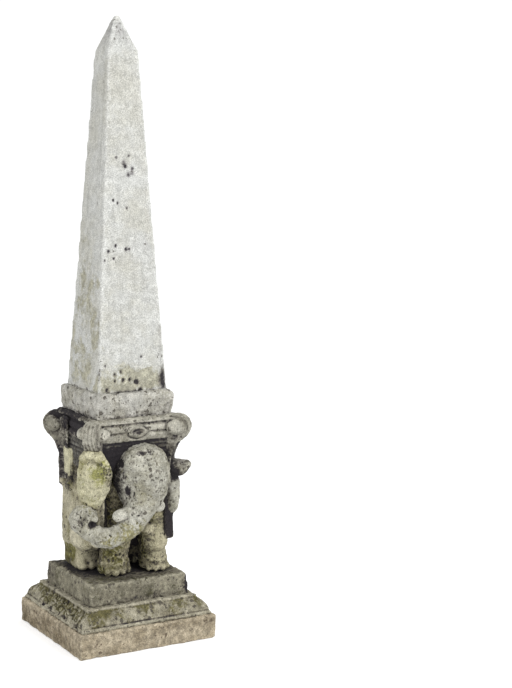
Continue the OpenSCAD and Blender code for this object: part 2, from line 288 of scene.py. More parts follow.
def stone(name, pale, warm, green=(0.15, 0.145, 0.045), mossy=0.3, dirt=0.0, spots=0.3, streaks=0.3,
          bloom=0.3, crust=(0.085, 0.075, 0.062), uneven=1.0):
    """A weathered cast stone: two base tones, bloom, moss, rain streaks, spots, painted shade, black soot
    that is partly painted shade, and paler arrises that are both worn and painted highlight.
    """
    made = bpy.data.materials.new(name)
    made.use_nodes = True
    tree = made.node_tree
    shader = tree.nodes["Principled BSDF"]
    shader.inputs["Specular IOR Level"].default_value = 0.2
    where = tree.nodes.new("ShaderNodeTexCoord").outputs["Object"]
    body = place(tree, grain, Vector=where)
    dark = place(tree, grime_and_shade, Vector=where, Dirt=dirt, Spots=spots)
    growth = place(tree, moss, Vector=where, Amount=mossy)

    def lay(colour, mask, strength, over):
        return blend_in(tree, maths(tree, "MULTIPLY", mask, strength), colour, over)

    def paler(gain, lift):
        return tuple(min(0.8, c * gain + lift) for c in pale)

    colour = blend_in(tree, body["Mottle"], pale, warm)
    light = ramp_in(tree, noise_in(tree, where, 29.0, 7.0, 0.7), 0.52 - 0.1 * bloom, 0.66)
    colour = lay(colour, light, 0.75 * bloom, paler(1.3, 0.05))
    tint = blend_in(tree, ramp_in(tree, growth["Tint"], 0.4, 0.62), tuple(c * 0.62 for c in green), green)
    colour = lay(colour, growth["Mask"], 0.85, tint)
    runs = ramp_in(tree, noise_in(tree, stretched(tree, where, (70, 70, 3.0)), 1.0, 6.0, 0.65), 0.5, 0.72)
    colour = lay(colour, runs, streaks, tuple(c * 0.4 for c in warm))
    # Convex arrises are painted paler: partly worn stone, partly a painted highlight.
    colour = lay(colour, dark["WornEdgeAndHighlight"], 0.45, paler(1.2, 0.05))
    # Negative growth paints stone pale: washed by rain, and on the right haunch a painted highlight.
    washed_and_highlit = ramp_in(tree, mark_in(tree, "growth"), 0.0, -1.0, 0.0, 0.8)
    colour = blend_in(tree, washed_and_highlit, colour, paler(1.25, 0.06))
    cloudy = ramp_in(tree, body["Cloud"], 0.0, 1.0, 1 - 0.26 * uneven, 1 + 0.16 * uneven)
    colour = blend_in(tree, 1.0, colour, cloudy, "MULTIPLY")
    # Painted shade: a soft darkening where the sky is hidden, in the hollows and at marked places, then black
    # soot that is partly painted shade too.
    under_shade_colour = blend_in(tree, 1.0, colour, (0.40, 0.375, 0.40), "MULTIPLY")
    colour = lay(colour, dark["PaintedShade"], 0.75, under_shade_colour)
    colour = lay(colour, dark["Specks"], 0.85, crust)
    colour = lay(colour, dark["Soot"], 0.9, (0.024, 0.021, 0.026))
    colour = blend_in(tree, 1.0, colour, ramp_in(tree, body["Sand"], 0.0, 1.0, 0.70, 1.24), "MULTIPLY")
    wire(tree, colour, shader.inputs["Base Color"])
    wire(tree, ramp_in(tree, body["Sand"], 0.0, 1.0, 0.84, 0.97), shader.inputs["Roughness"])
    bump = tree.nodes.new("ShaderNodeBump")
    bump.inputs["Strength"].default_value = 0.8
    bump.inputs["Distance"].default_value = 0.0024
    wire(tree, sum_in(tree, (body["Tooth"], 1.0), (dark["Specks"], -0.5), (growth["Mask"], 0.25)),
         bump.inputs["Height"])
    wire(tree, bump.outputs["Normal"], shader.inputs["Normal"])
    return made


def square_stack(levels):
    """A closed block of square plan through (half width, height) levels, lowest first."""
    bm = bmesh.new()
    half, z = levels[0]
    bmesh.ops.create_grid(bm, x_segments=1, y_segments=1, size=half, matrix=Matrix.Translation((0, 0, z)))
    top = list(bm.faces)
    for wide, high in levels[1:]:
        grown = bmesh.ops.extrude_face_region(bm, geom=top)["geom"]
        corners = [g for g in grown if isinstance(g, bmesh.types.BMVert)]
        top = [g for g in grown if isinstance(g, bmesh.types.BMFace)]
        bmesh.ops.scale(bm, vec=(wide / half, wide / half, 1), verts=corners)
        bmesh.ops.translate(bm, vec=(0, 0, high - z), verts=corners)
        half, z = wide, high
    bmesh.ops.recalc_face_normals(bm, faces=bm.faces)
    return bm


def weld(name, bm, grit, soften):
    """Makes the block or lump one closed skin of even faces, as a casting has, and softens it."""
    bm.normal_update()
    mesh = bpy.data.meshes.new(name)
    bm.to_mesh(mesh)
    bm.free()
    rough = bpy.data.objects.new(name, mesh)
    bpy.context.scene.collection.objects.link(rough)
    skin = rough.modifiers.new("skin", "REMESH")
    skin.mode = "VOXEL"
    skin.voxel_size = grit
    smooth = rough.modifiers.new("soften", "SMOOTH")
    smooth.factor = 0.5
    smooth.iterations = soften
    bpy.context.view_layer.update()
    evaluated = rough.evaluated_get(bpy.context.evaluated_depsgraph_get())
    finished = bpy.data.meshes.new_from_object(evaluated)
    finished.name = name
    bpy.data.objects.remove(rough)
    bpy.data.meshes.remove(mesh)
    return finished


def read_mesh(mesh):
    count = len(mesh.vertices)
    points = np.empty(count * 3)
    mesh.vertices.foreach_get("co", points)
    outward = np.empty(count * 3)
    mesh.vertices.foreach_get("normal", outward)
    return points.reshape(-1, 3), outward.reshape(-1, 3)


def write_mesh(mesh, points):
    mesh.vertices.foreach_set("co", points.reshape(-1))
    mesh.update()


def even_out(mesh, values, rounds):
    """Averages values over each vertex's neighbours, a number of times."""
    pairs = np.empty(len(mesh.edges) * 2, dtype=np.int32)
    mesh.edges.foreach_get("vertices", pairs)
    a, b = pairs.reshape(-1, 2).T
    wide = values.reshape(len(mesh.vertices), -1).astype(float)
    degree = np.bincount(a, minlength=len(wide)) + np.bincount(b, minlength=len(wide))
    degree = np.maximum(degree, 1)[:, None]
    for _ in range(rounds):
        total = np.stack(
            [np.bincount(a, wide[b, k], len(wide)) + np.bincount(b, wide[a, k], len(wide))
             for k in range(wide.shape[1])], axis=1)
        wide = 0.5 * wide + 0.5 * total / degree
    return wide.reshape(values.shape)


def weather(mesh, seed, lumps=0.0012, rough=0.0006, chips=0.002, pits=0.0, pit_scale=70.0):
    """Wears the skin: slow unevenness, a rough tooth, chips off the arrises, and ragged pits."""
    points, outward = read_mesh(mesh)
    shift = Vector((seed * 3.7, seed * 1.9, seed * 5.3))
    swell_at = np.array([noise.noise(Vector(p) * 14 + shift) for p in points])
    tooth = np.array([noise.fractal(Vector(p) * 62 + shift, 0.8, 2.1, 4) for p in points])
    curve = ((even_out(mesh, points, 5) - points) * outward).sum(1)
    arris = np.clip(-curve / 0.0009, 0, 1)
    bite = np.array([noise.noise(Vector(p) * 33 - shift) for p in points])
    inward = lumps * (0.1 - swell_at) + rough * (0.1 - tooth) + chips * arris * np.clip(bite + 0.2, 0, 1)
    if pits:
        warp = np.array([noise.noise_vector(Vector(p) * 60 + shift) for p in points]) * 0.007
        near = np.array([noise.voronoi(Vector(p) * pit_scale + shift)[0][0] for p in points + warp])
        where_pitted = np.array([noise.noise(Vector(p) * 19 + shift * 2) for p in points])
        inward += pits * np.clip((0.30 + 0.35 * where_pitted - near) / 0.25, 0, 1)
    write_mesh(mesh, np.clip(points - outward * inward[:, None], cad_box[0], cad_box[1]))


def painted(points, marks):
    """Adds up soft-edged marks, each (centre, half sizes, strength)."""
    level = np.zeros(len(points))
    for centre, sizes, strength in marks:
        away = np.linalg.norm((points - np.array(centre)) / np.array(sizes), axis=1)
        level += strength * np.clip((1.0 - away) / 0.6, 0, 1)
    return level


def add_piece(name, mesh, material, nodes, stains_and_shade=(), growths=(), extra_soot_and_shade=0.0):
    """Puts a finished skin in the scene, marks it, and lets it stand for its nodes.

    A stain-and-shade mark of 1 is black; the marks hold real soot and stains and also painted shade. A growth
    of 1 is thick moss, and of -1 is stone painted pale: washed by rain, and on the right haunch a painted
    highlight."""
    points, outward = read_mesh(mesh)
    curve = ((even_out(mesh, points, 7) - points) * outward).sum(1)
    for label, values, least, most in (("hollow", 0.5 + curve / 0.0032, 0, 1),
                                       ("growth", painted(points, growths), -1, 1),
                                       ("stain_and_shade", painted(points, stains_and_shade) + extra_soot_and_shade, -1, 1.6)):
        mark = mesh.attributes.new(label, "FLOAT", "POINT")
        mark.data.foreach_set("value", np.clip(values, least, most).astype(np.float32))
    for polygon in mesh.polygons:
        polygon.use_smooth = True
    mesh.materials.clear()
    mesh.materials.append(material)
    piece = bpy.data.objects.new(name, mesh)
    bpy.context.scene.collection.objects.link(piece)
    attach(piece, "root")
    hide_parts(*nodes)
    return piece


low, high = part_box("plinth")
edge_wear, plinth_grit, plinth_soften = 0.0025, 0.004, 2
plinth = weld("plinth_block", square_stack([
    (high.x - edge_wear, low.z), (high.x, low.z + edge_wear), (high.x, high.z - edge_wear),
    (high.x - edge_wear, high.z)]), plinth_grit, plinth_soften)
weather(plinth, 1, lumps=0.0016, rough=0.0013, chips=0.004, pits=0.0014, pit_scale=60)
plinth_stone = stone("plinth stone", (0.41, 0.35, 0.25), (0.21, 0.17, 0.11), green=(0.22, 0.19, 0.10),
                     mossy=0.12, dirt=-0.06, spots=0.26, streaks=0.35, bloom=0.7, crust=(0.13, 0.10, 0.07),
                     uneven=1.4)
# The top round the moulding's foot is darkened with painted shade, and the right side face is painted a
# little darker.
add_piece("plinth_block", plinth, plinth_stone, ["plinth"],
          [((-0.24, 0, 0.045), (0.03, 0.30, 0.06), 0.22), ((0, 0, 0.08), (0.24, 0.24, 0.010), 0.3)],
          [((0.1, -0.2375, 0.03), (0.16, 0.03, 0.05), -0.5),
           ((-0.15, -0.2375, 0.05), (0.08, 0.03, 0.04), -0.4)])


# The moulding above the plinth is cast with it: a foot fillet, a full swelling that leans
# in, and a thin fillet under the slab. Frost has broken its right side to mossy rubble.
def square_ring(out, z):
    """The path once round a square block."""
    return [(-out, -out, z), (out, -out, z), (out, out, z), (-out, out, z), (-out, -out, z)]


def stroke(mesh, path, width, depth):
    """Cuts a soft groove along the path, or raises a ridge where depth is negative."""
    points, outward = read_mesh(mesh)
    near = np.full(len(points), 9.0)
    for a, b in zip(path, path[1:]):
        a, b = np.array(a), np.array(b)
        along = np.clip(((points - a) @ (b - a)) / max((b - a) @ (b - a), 1e-9), 0, 1)
        near = np.minimum(near, np.linalg.norm(points - a - along[:, None] * (b - a), axis=1))
    fall = np.clip(1 - near / width, 0, 1)
    write_mesh(mesh, points - outward * (depth * fall * fall * (3 - 2 * fall))[:, None])


low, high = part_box("base_moulding")
fillet, foot, step_in, swelling, top_half, moulding_grit = 0.008, 0.013, 0.004, 0.0065, 0.192, 0.0034
levels = [(high.x - 0.001, low.z - 0.004), (high.x, low.z + 0.003), (high.x - 0.0005, low.z + foot - 0.003),
          (high.x - step_in - 0.002, low.z + foot)]
run, rise = high.x - step_in - top_half, high.z - low.z - foot - fillet
for step in range(1, 9):
    part = step / 9
    levels.append((high.x - step_in - run * part + swelling * math.sin(math.pi * part),
                   low.z + foot + rise * part))
levels += [(top_half - 0.002, high.z - fillet), (top_half, high.z - fillet + 0.002),
           (top_half - 0.001, high.z)]
moulding = weld("moulding_ring", square_stack(levels), moulding_grit, 1)
foot_groove = (low.z + foot + 0.0015, high.x - 0.003, 0.0048, 0.0034)
top_groove = (high.z - fillet - 0.001, top_half, 0.005, 0.0015)
for z, out, wide, deep in (foot_groove, top_groove):
    stroke(moulding, square_ring(out, z), wide, deep)
weather(moulding, 2, lumps=0.0018, rough=0.0018, chips=0.004, pits=0.0016, pit_scale=60)
points, outward = read_mesh(moulding)
broken_from, broken_middle, broken_half, broken_foot, broken_top = 0.186, -0.025, 0.175, 0.083, 0.139
broken = np.clip((-points[:, 0] - broken_from) / 0.008, 0, 1)
broken = broken * np.clip((broken_half - np.abs(points[:, 1] - broken_middle)) / 0.05, 0, 1)
broken *= (np.clip((points[:, 2] - broken_foot) / 0.006, 0, 1)
           * np.clip((broken_top - points[:, 2]) / 0.008, 0, 1))
cells = [noise.voronoi(Vector(p) * 46 + noise.noise_vector(Vector(p) * 40) * 0.45) if b > 0 else None
         for p, b in zip(points, broken)]
crack = np.array([0 if c is None else np.clip(1 - (c[0][1] - c[0][0]) / 0.28, 0, 1) for c in cells])
chunk = np.array([0 if c is None else noise.noise(c[1][0] * 9.1) for c in cells])
points -= outward * (broken * (0.003 + 0.0045 * crack + 0.010 * np.clip(chunk + 0.1, -0.5, 1)))[:, None]
write_mesh(moulding, points)
moss_stone = stone("mossy moulding stone", (0.345, 0.32, 0.24), (0.20, 0.18, 0.125),
                   green=(0.15, 0.135, 0.05), mossy=0.50, dirt=0.02, spots=0.44, streaks=0.15, bloom=0.55)
# The cracks of the broken rubble are painted dark, as dirt and as shade in the cracks, and its chunks paler.
add_piece("moulding_ring", moulding, moss_stone, ["base_moulding"],
          [((0, -0.228, low.z + foot), (0.24, 0.012, 0.006), 0.55),
           ((-0.228, 0, low.z + foot), (0.012, 0.24, 0.006), 0.35)],
          [((0, 0, high.z), (0.30, 0.30, 0.012), -0.9), ((-0.21, -0.02, 0.112), (0.05, 0.17, 0.03), 0.30),
           ((0, 0, low.z + 0.007), (0.5, 0.5, 0.008), -0.5)], broken * (0.55 * crack - 0.42))


# The pedestal slab under the elephant's feet is a plain tapered block of the same cast stone, dark with damp
# and black at its corners. Its top, under the elephant, is darkened further with painted shade.
low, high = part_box("pedestal_slab")
slab_top_half, slab_grit = 0.168, 0.0037
slab = weld("pedestal_block", square_stack([
    (high.x + 0.002, low.z - 0.003), (high.x + 0.003, low.z + 0.003), (slab_top_half, high.z - 0.002),
    (slab_top_half - 0.002, high.z)]), slab_grit, 1)
weather(slab, 3, lumps=0.0016, rough=0.0015, chips=0.005, pits=0.0012, pit_scale=75)
slab_stone = stone("dark slab stone", (0.29, 0.27, 0.20), (0.17, 0.157, 0.115), green=(0.115, 0.11, 0.055),
                   mossy=0.34, dirt=0.10, spots=0.42, streaks=0.25, bloom=0.35)
add_piece("pedestal_block", slab, slab_stone, ["pedestal_slab"],
          [((-0.165, 0.165, 0.195), (0.07, 0.07, 0.06), 0.55),
           ((0.168, -0.165, 0.18), (0.03, 0.06, 0.05), 0.5),
           ((0.172, -0.168, 0.18), (0.014, 0.014, 0.08), 1.2), ((0, 0, 0.222), (0.40, 0.40, 0.016), 1.1),
           ((-0.12, 0.03, 0.222), (0.09, 0.15, 0.02), 0.6), ((-0.17, -0.03, 0.18), (0.02, 0.16, 0.04), -0.25),
           ((0, -0.165, 0.150), (0.17, 0.02, 0.012), 0.2)])


# The elephant is modelled in clay fashion, from balls pressed and stretched together, then
# cut with strokes of a tool. Its body is a squared mass between the legs and the capital,
# with a swollen flank and a haunch over the hind foot.
def swell(bm, *balls):
    """Adds the smooth skin stretched over balls, each (place, radius) or (place, radius, stretch)."""
    lump = bmesh.new()
    for at, radius, *stretch in balls:
        shape = Matrix.Diagonal((*(stretch[0] if stretch else (1, 1, 1)), 1))
        bmesh.ops.create_icosphere(lump, subdivisions=4, radius=radius, matrix=Matrix.Translation(at) @ shape)
    bmesh.ops.delete(lump, geom=lump.edges[:], context="EDGES_FACES")
    hull = bmesh.ops.convex_hull(lump, input=lump.verts)
    inner = {g for g in hull["geom_interior"] + hull["geom_unused"] if isinstance(g, bmesh.types.BMVert)}
    bmesh.ops.delete(lump, geom=list(inner), context="VERTS")
    bmesh.ops.recalc_face_normals(lump, faces=lump.faces)
    made = bpy.data.meshes.new("lump")
    lump.to_mesh(made)
    lump.free()
    bm.from_mesh(made)
    bpy.data.meshes.remove(made)


def limb(bm, *stations):
    """A round limb that runs through (place, radius) stations."""
    for start, end in zip(stations, stations[1:]):
        swell(bm, start, end)


def block(bm, low, high, round_off=0.012):
    made = bmesh.ops.create_cube(bm, size=1, matrix=Matrix.Translation((Vector(low) + Vector(high)) / 2)
                                 @ Matrix.Diagonal((*(Vector(high) - Vector(low)), 1)))
    edges = {e for v in made["verts"] for e in v.link_edges}
    bmesh.ops.bevel(bm, geom=list(edges), offset=round_off, offset_type="OFFSET", affect="EDGES", segments=4,
                    profile=0.5, material=-1)


low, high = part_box("elephant_body")
flank, back_half, chest, belly_front, body_grit = 0.136, 0.132, -0.101, -0.030, 0.0037
back_foot_z, waist_z, shoulder_z, horn_foot_half = 0.372, 0.374, 0.318, 0.1425
bm = bmesh.new()
block(bm, (-back_half, chest, back_foot_z), (back_half, 0.1335, high.z + 0.006), 0.010)
block(bm, (-flank, chest, waist_z), (flank, flank, 0.482), 0.012)
block(bm, (-flank, belly_front, low.z), (flank, flank, 0.440), 0.012)
for side in (-1, 1):
    inner, outer = sorted((side * 0.104, side * (flank + 0.004)))
    block(bm, (inner, -0.134, shoulder_z), (outer, -0.080, 0.496), 0.007)
    inner, outer = sorted((side * 0.115, side * horn_foot_half))
    block(bm, (inner, 0.112, 0.470), (outer, horn_foot_half, 0.575), 0.006)
    swell(bm, ((side * 0.130, 0.030, 0.318), 0.032, (0.60, 1.2, 1.15)),
          ((side * 0.126, -0.036, 0.330), 0.034, (0.70, 1.2, 1.2)))
    swell(bm, ((side * 0.066, high.y - 0.012, 0.40), 0.055, (1.0, 0.25, 1.6)))
body = weld("elephant_body_mass", bm, body_grit, 3)
for side in (-1, 1):
    stroke(body, [(side * flank, 0.075, 0.352), (side * flank, 0.02, 0.364), (side * flank, -0.05, 0.375)],
           0.010, 0.005)
    stroke(body, [(side * flank, -0.010, 0.47), (side * flank, -0.020, 0.41), (side * flank, -0.020, 0.37)],
           0.026, 0.010)
    for y in (0.115, 0.088, 0.040, 0.022):
        stroke(body, [(side * flank, y, 0.46), (side * flank, y + 0.006, 0.37)], 0.011, 0.0022)
weather(body, 4, lumps=0.0024, rough=0.0014, chips=0.003, pits=0.0014)
elephant_stone = stone("elephant stone", (0.43, 0.40, 0.29), (0.29, 0.265, 0.165),
                       green=(0.235, 0.225, 0.075), mossy=0.30, dirt=0.02, spots=0.32, streaks=0.35,
                       bloom=0.5)
# Painted shade darkens the body under the capital, behind the head and the left ear, between the front legs
# and under the belly, under the right haunch and saddle flap, and down its left front and right back corners;
# the top of the right haunch is painted pale as a highlight.
add_piece("elephant_body_mass", body, elephant_stone, ["elephant_body"],
          [((side * 0.13, 0.03, 0.53), (0.05, 0.14, 0.06), 0.55) for side in (-1, 1)]
          + [((0.01, -0.08, 0.36), (0.14, 0.08, 0.12), 1.2), ((-0.06, -0.10, 0.50), (0.09, 0.05, 0.12), 1.0),
             ((0.13, -0.13, 0.41), (0.05, 0.03, 0.20), 1.3), ((0.08, -0.12, 0.56), (0.06, 0.05, 0.06), 1.0),
             ((0, 0.134, 0.54), (0.16, 0.03, 0.04), 0.5), ((-0.135, 0.01, 0.270), (0.03, 0.14, 0.016), 0.6),
             ((-0.135, -0.045, 0.42), (0.03, 0.03, 0.08), 0.9),
             ((-0.142, 0.142, 0.46), (0.020, 0.020, 0.16), 1.3),
             ((-0.13, 0.10, 0.505), (0.03, 0.06, 0.014), 0.7), ((0.0, 0.0, 0.285), (0.10, 0.10, 0.05), 1.5)],
          [((-0.146, -0.005, 0.325), (0.03, 0.08, 0.045), -1.0),
           ((-0.14, 0.07, 0.41), (0.03, 0.07, 0.09), -0.35), ((0.09, -0.10, 0.42), (0.05, 0.05, 0.14), 0.3)])


# Head and trunk are one swell of stone. The trunk leaves the face to the elephant's right,
# runs round under the cheek and curls up at the corner; shallow rings are cut across it.
face, crown, clay_grit = (0.021, -0.138, 0.554), 0.0895, 0.0026
trunk_route = [((0.012, -0.164, 0.480), 0.059), ((-0.002, -0.171, 0.450), 0.051),
               ((-0.020, -0.178, 0.420), 0.043), ((-0.042, -0.184, 0.392), 0.037),
               ((-0.074, -0.187, 0.371), 0.034), ((-0.112, -0.187, 0.362), 0.033),
               ((-0.144, -0.172, 0.367), 0.032), ((-0.168, -0.156, 0.381), 0.031)]
curl_mid, curl_radius, curl_steps = Vector((-0.176, -0.138, 0.416)), 0.024, 8
across = Vector((math.sqrt(0.5), -math.sqrt(0.5), 0))
for step in range(curl_steps):
    angle = math.radians(60 + 28 * step)
    spot = curl_mid + curl_radius * (across * -math.sin(angle) + Vector((0, 0, -math.cos(angle))))
    trunk_route.append((tuple(spot), 0.029 - 0.0011 * step))
bm = bmesh.new()
swell(bm, (face, crown), ((0.024, -0.150, 0.512), 0.077), ((0.020, -0.160, 0.476), 0.058))
swell(bm, ((-0.004, -0.130, 0.545), 0.074), ((-0.008, -0.142, 0.485), 0.050))
for side in (-1, 1):
    swell(bm, ((face[0] - 0.010 + side * 0.030, -0.176, 0.588), 0.042))
limb(bm, *trunk_route)
limb(bm, ((-0.010, -0.176, 0.446), 0.034), ((-0.046, -0.182, 0.430), 0.026))
head = weld("elephant_head_and_trunk", bm, clay_grit, 9)
for side in (-1, 1):
    eye = (face[0] + side * 0.067, -0.176, 0.592)
    stroke(head, [eye, (eye[0] + side * 0.008, -0.165, 0.585)], 0.013, 0.007)
    stroke(head, [(eye[0] - side * 0.006, -0.183, 0.584), (eye[0] + side * 0.004, -0.170, 0.545),
                  (eye[0] - side * 0.004, -0.172, 0.505), (eye[0] - side * 0.018, -0.178, 0.475)], 0.012,
           0.006)
    stroke(head, [(eye[0] - side * 0.022, -0.200, 0.585), (eye[0] - side * 0.014, -0.200, 0.545),
                  (eye[0] - side * 0.022, -0.205, 0.500)], 0.016, -0.003)
curl_hole = curl_mid + across * 0.030 + Vector((-0.010, -0.010, -0.010))
stroke(head, [tuple(curl_hole + Vector((-0.012, -0.012, 0))), tuple(curl_hole + Vector((0.01, 0.01, 0)))],
       0.014, 0.011)
stroke(head, [tuple(curl_mid + Vector((-0.02, -0.02, 0.006))),
              tuple(curl_mid + Vector((-0.02, -0.02, -0.010)))], 0.010, 0.007)
rings = [(Vector(a[0]).lerp(Vector(b[0]), t), (Vector(b[0]) - Vector(a[0])).normalized())
         for a, b in zip(trunk_route[2:7], trunk_route[3:8]) for t in (0.1, 0.6)]
points, outward = read_mesh(head)
for spot, along in rings:
    off = points - np.array(spot)
    flat = np.abs(off @ np.array(along) + 0.002 * np.sin(points[:, 2] * 150))
    fall = np.clip(1 - flat / 0.005, 0, 1) * (np.linalg.norm(off, axis=1) < 0.048)
    points -= outward * (0.0014 * fall)[:, None]
write_mesh(head, points)
weather(head, 5, lumps=0.0036, rough=0.0026, chips=0.003, pits=0.0042, pit_scale=74)
head_stone = stone("pitted head stone", (0.44, 0.43, 0.37), (0.30, 0.285, 0.215), green=(0.31, 0.285, 0.125),
                   mossy=0.10, dirt=0.02, spots=0.40, streaks=0.12, bloom=0.7)
# Besides the pits and the eye holes, painted shade darkens the head where it meets the bell and the left ear,
# under the trunk and in the curl's hole.
add_piece("elephant_head_and_trunk", head, head_stone, ["elephant_head", "trunk"],
          [((-0.040, -0.190, 0.596), (0.016, 0.022, 0.013), 1.5),
           ((-0.054, -0.168, 0.545), (0.012, 0.018, 0.026), 1.4),
           ((-0.046, -0.175, 0.505), (0.012, 0.016, 0.020), 1.3),
           ((-0.030, -0.200, 0.542), (0.012, 0.014, 0.012), 1.2),
           ((-0.056, -0.160, 0.588), (0.012, 0.020, 0.016), 1.2),
           ((0.060, -0.190, 0.600), (0.012, 0.016, 0.010), 1.2),
           ((0.075, -0.190, 0.560), (0.010, 0.014, 0.014), 1.1),
           ((-0.010, -0.195, 0.622), (0.022, 0.02, 0.010), 1.0),
           ((-0.042, -0.200, 0.437), (0.012, 0.02, 0.012), 0.8),
           ((-0.020, -0.218, 0.432), (0.012, 0.02, 0.010), 0.6),
           ((0.009, -0.231, 0.481), (0.010, 0.012, 0.008), 0.7),
           ((0.018, -0.195, 0.625), (0.012, 0.02, 0.008), 0.7),
           ((-0.066, -0.135, 0.56), (0.020, 0.05, 0.10), 0.75),
           ((0.02, -0.11, 0.64), (0.10, 0.04, 0.05), 0.8), ((0.106, -0.12, 0.555), (0.022, 0.05, 0.09), 0.8),
           (tuple(curl_hole), (0.016, 0.02, 0.012), 1.0),
           (tuple(curl_mid + Vector((-0.02, -0.02, 0))), (0.009, 0.009, 0.018), 0.8),
           ((-0.176, -0.138, 0.420), (0.05, 0.05, 0.05), 0.18),
           ((-0.07, -0.19, 0.340), (0.12, 0.05, 0.016), 0.3),
           ((-0.05, -0.20, 0.39), (0.10, 0.06, 0.04), -0.25)],
          [((-0.03, -0.19, 0.385), (0.09, 0.06, 0.06), 0.44),
           ((-0.10, -0.20, 0.355), (0.08, 0.05, 0.04), 0.42),
           ((-0.062, -0.130, 0.56), (0.02, 0.05, 0.09), 0.6),
           ((-0.15, -0.18, 0.385), (0.03, 0.03, 0.02), -0.5)])


# Two short tusks, cast with the head, stand out beside the root of the trunk. Their tips
# are blunt and worn pale.
for name, root, tip in (("right_tusk", (-0.034, -0.180, 0.436), (-0.086, -0.189, 0.429)),
                        ("left_tusk", (0.046, -0.166, 0.454), (0.066, -0.173, 0.441))):
    bm = bmesh.new()
    limb(bm, (root, 0.025), (tip, 0.0185))
    tusk = weld(name + "_stub", bm, clay_grit, 4)
    weather(tusk, 6, lumps=0.0016, rough=0.0012, chips=0.001, pits=0.001)
    add_piece(name + "_stub", tusk, head_stone, [name], (),
              [(tip, (0.04, 0.04, 0.03), -0.8)])


# The right ear is a thick shield that faces the corner, with a rough broken crown and a
# folded inner lobe. It is shaped face on, then turned to its corner.
reach, corner_turn = 0.203, Matrix.Rotation(math.radians(-135), 3, "Z")
flat_on = (0.36, 1.0, 0.9)
bm = bmesh.new()
swell(bm, ((reach, -0.006, 0.603), 0.043, flat_on), ((reach, -0.002, 0.562), 0.058, flat_on),
      ((reach, -0.006, 0.525), 0.055, flat_on), ((reach - 0.002, -0.012, 0.490), 0.043, flat_on),
      ((reach - 0.004, -0.011, 0.468), 0.031, (0.6, 1, 0.95)))
for over, up, size in ((-0.034, 0.610, 0.016), (-0.010, 0.622, 0.018), (0.018, 0.615, 0.017)):
    swell(bm, ((reach + 0.009, over, up), size, (1, 1, 0.9)))
bmesh.ops.rotate(bm, cent=(0, 0, 0), matrix=corner_turn, verts=bm.verts)
right_ear = weld("right_ear_leaf", bm, clay_grit, 4)


def at_corner(out, over, z):
    return tuple(corner_turn @ Vector((out, over, z)))


stroke(right_ear, [at_corner(reach + 0.022, -0.044, 0.600), at_corner(reach + 0.026, -0.012, 0.597),
                   at_corner(reach + 0.026, 0.018, 0.597), at_corner(reach + 0.018, 0.038, 0.590)], 0.008,
       0.004)
stroke(right_ear, [at_corner(reach + 0.018, 0.036, 0.585), at_corner(reach + 0.020, 0.030, 0.535),
                   at_corner(reach + 0.016, 0.018, 0.490)], 0.008, 0.003)
weather(right_ear, 7, lumps=0.0028, rough=0.0018, chips=0.003, pits=0.0022)
ear_stone = stone("ear stone", (0.50, 0.475, 0.33), (0.40, 0.37, 0.205), green=(0.30, 0.30, 0.085),
                  mossy=0.34, dirt=-0.02, spots=0.26, streaks=0.3, bloom=0.4)
# The ear's inner side, next to the head, is painted dark.
add_piece("right_ear_leaf", right_ear, ear_stone, ["right_ear"],
          [(at_corner(reach + 0.01, 0.050, 0.560), (0.024, 0.024, 0.06), 0.75),
           (at_corner(reach + 0.022, -0.006, 0.596), (0.05, 0.05, 0.009), 0.4),
           (at_corner(reach + 0.01, -0.010, 0.448), (0.05, 0.05, 0.014), 0.3)],
          [(at_corner(reach + 0.02, -0.006, 0.622), (0.06, 0.06, 0.020), -0.7),
           (at_corner(reach + 0.02, 0.028, 0.570), (0.06, 0.05, 0.08), 0.22)])


# The left ear is two lobes of the same casting: the upper one is thrown outwards, and the lower one hangs
# beside the cheek. The fold between them and the ear beside the head are painted dark.
bm = bmesh.new()
swell(bm, ((0.108, -0.104, 0.550), 0.036), ((0.150, -0.146, 0.552), 0.028), ((0.168, -0.163, 0.562), 0.0155))
limb(bm, ((0.114, -0.104, 0.548), 0.033), ((0.134, -0.119, 0.500), 0.028), ((0.136, -0.120, 0.455), 0.0275),
     ((0.134, -0.118, 0.420), 0.0245))
left_ear = weld("left_ear_leaf", bm, clay_grit, 6)
stroke(left_ear, [(0.150, -0.170, 0.556), (0.130, -0.155, 0.550), (0.115, -0.140, 0.548)], 0.007, 0.003)
weather(left_ear, 8, lumps=0.0022, rough=0.0013, chips=0.002, pits=0.0014)
add_piece("left_ear_leaf", left_ear, head_stone, ["left_ear"],
          [((0.125, -0.130, 0.535), (0.06, 0.05, 0.034), 1.3),
           ((0.15, -0.15, 0.555), (0.08, 0.08, 0.05), 0.45), ((0.112, -0.135, 0.56), (0.02, 0.03, 0.04), 0.8),
           ((0.112, -0.130, 0.46), (0.016, 0.03, 0.06), 0.5)],
          [((0.145, -0.135, 0.45), (0.02, 0.03, 0.05), -0.4),
           ((0.160, -0.160, 0.578), (0.04, 0.04, 0.014), -0.6)])


# Four short legs like columns carry the body, cast with it and with the slab. Their feet
# spread over a row of toes, moss grows on them, and each front knee is worn pale.
def set_down(mesh, floor_z):
    """Keeps the foot's skin from sinking into the slab."""
    points = read_mesh(mesh)[0]
    points[:, 2] = np.maximum(points[:, 2], floor_z)
    write_mesh(mesh, points)


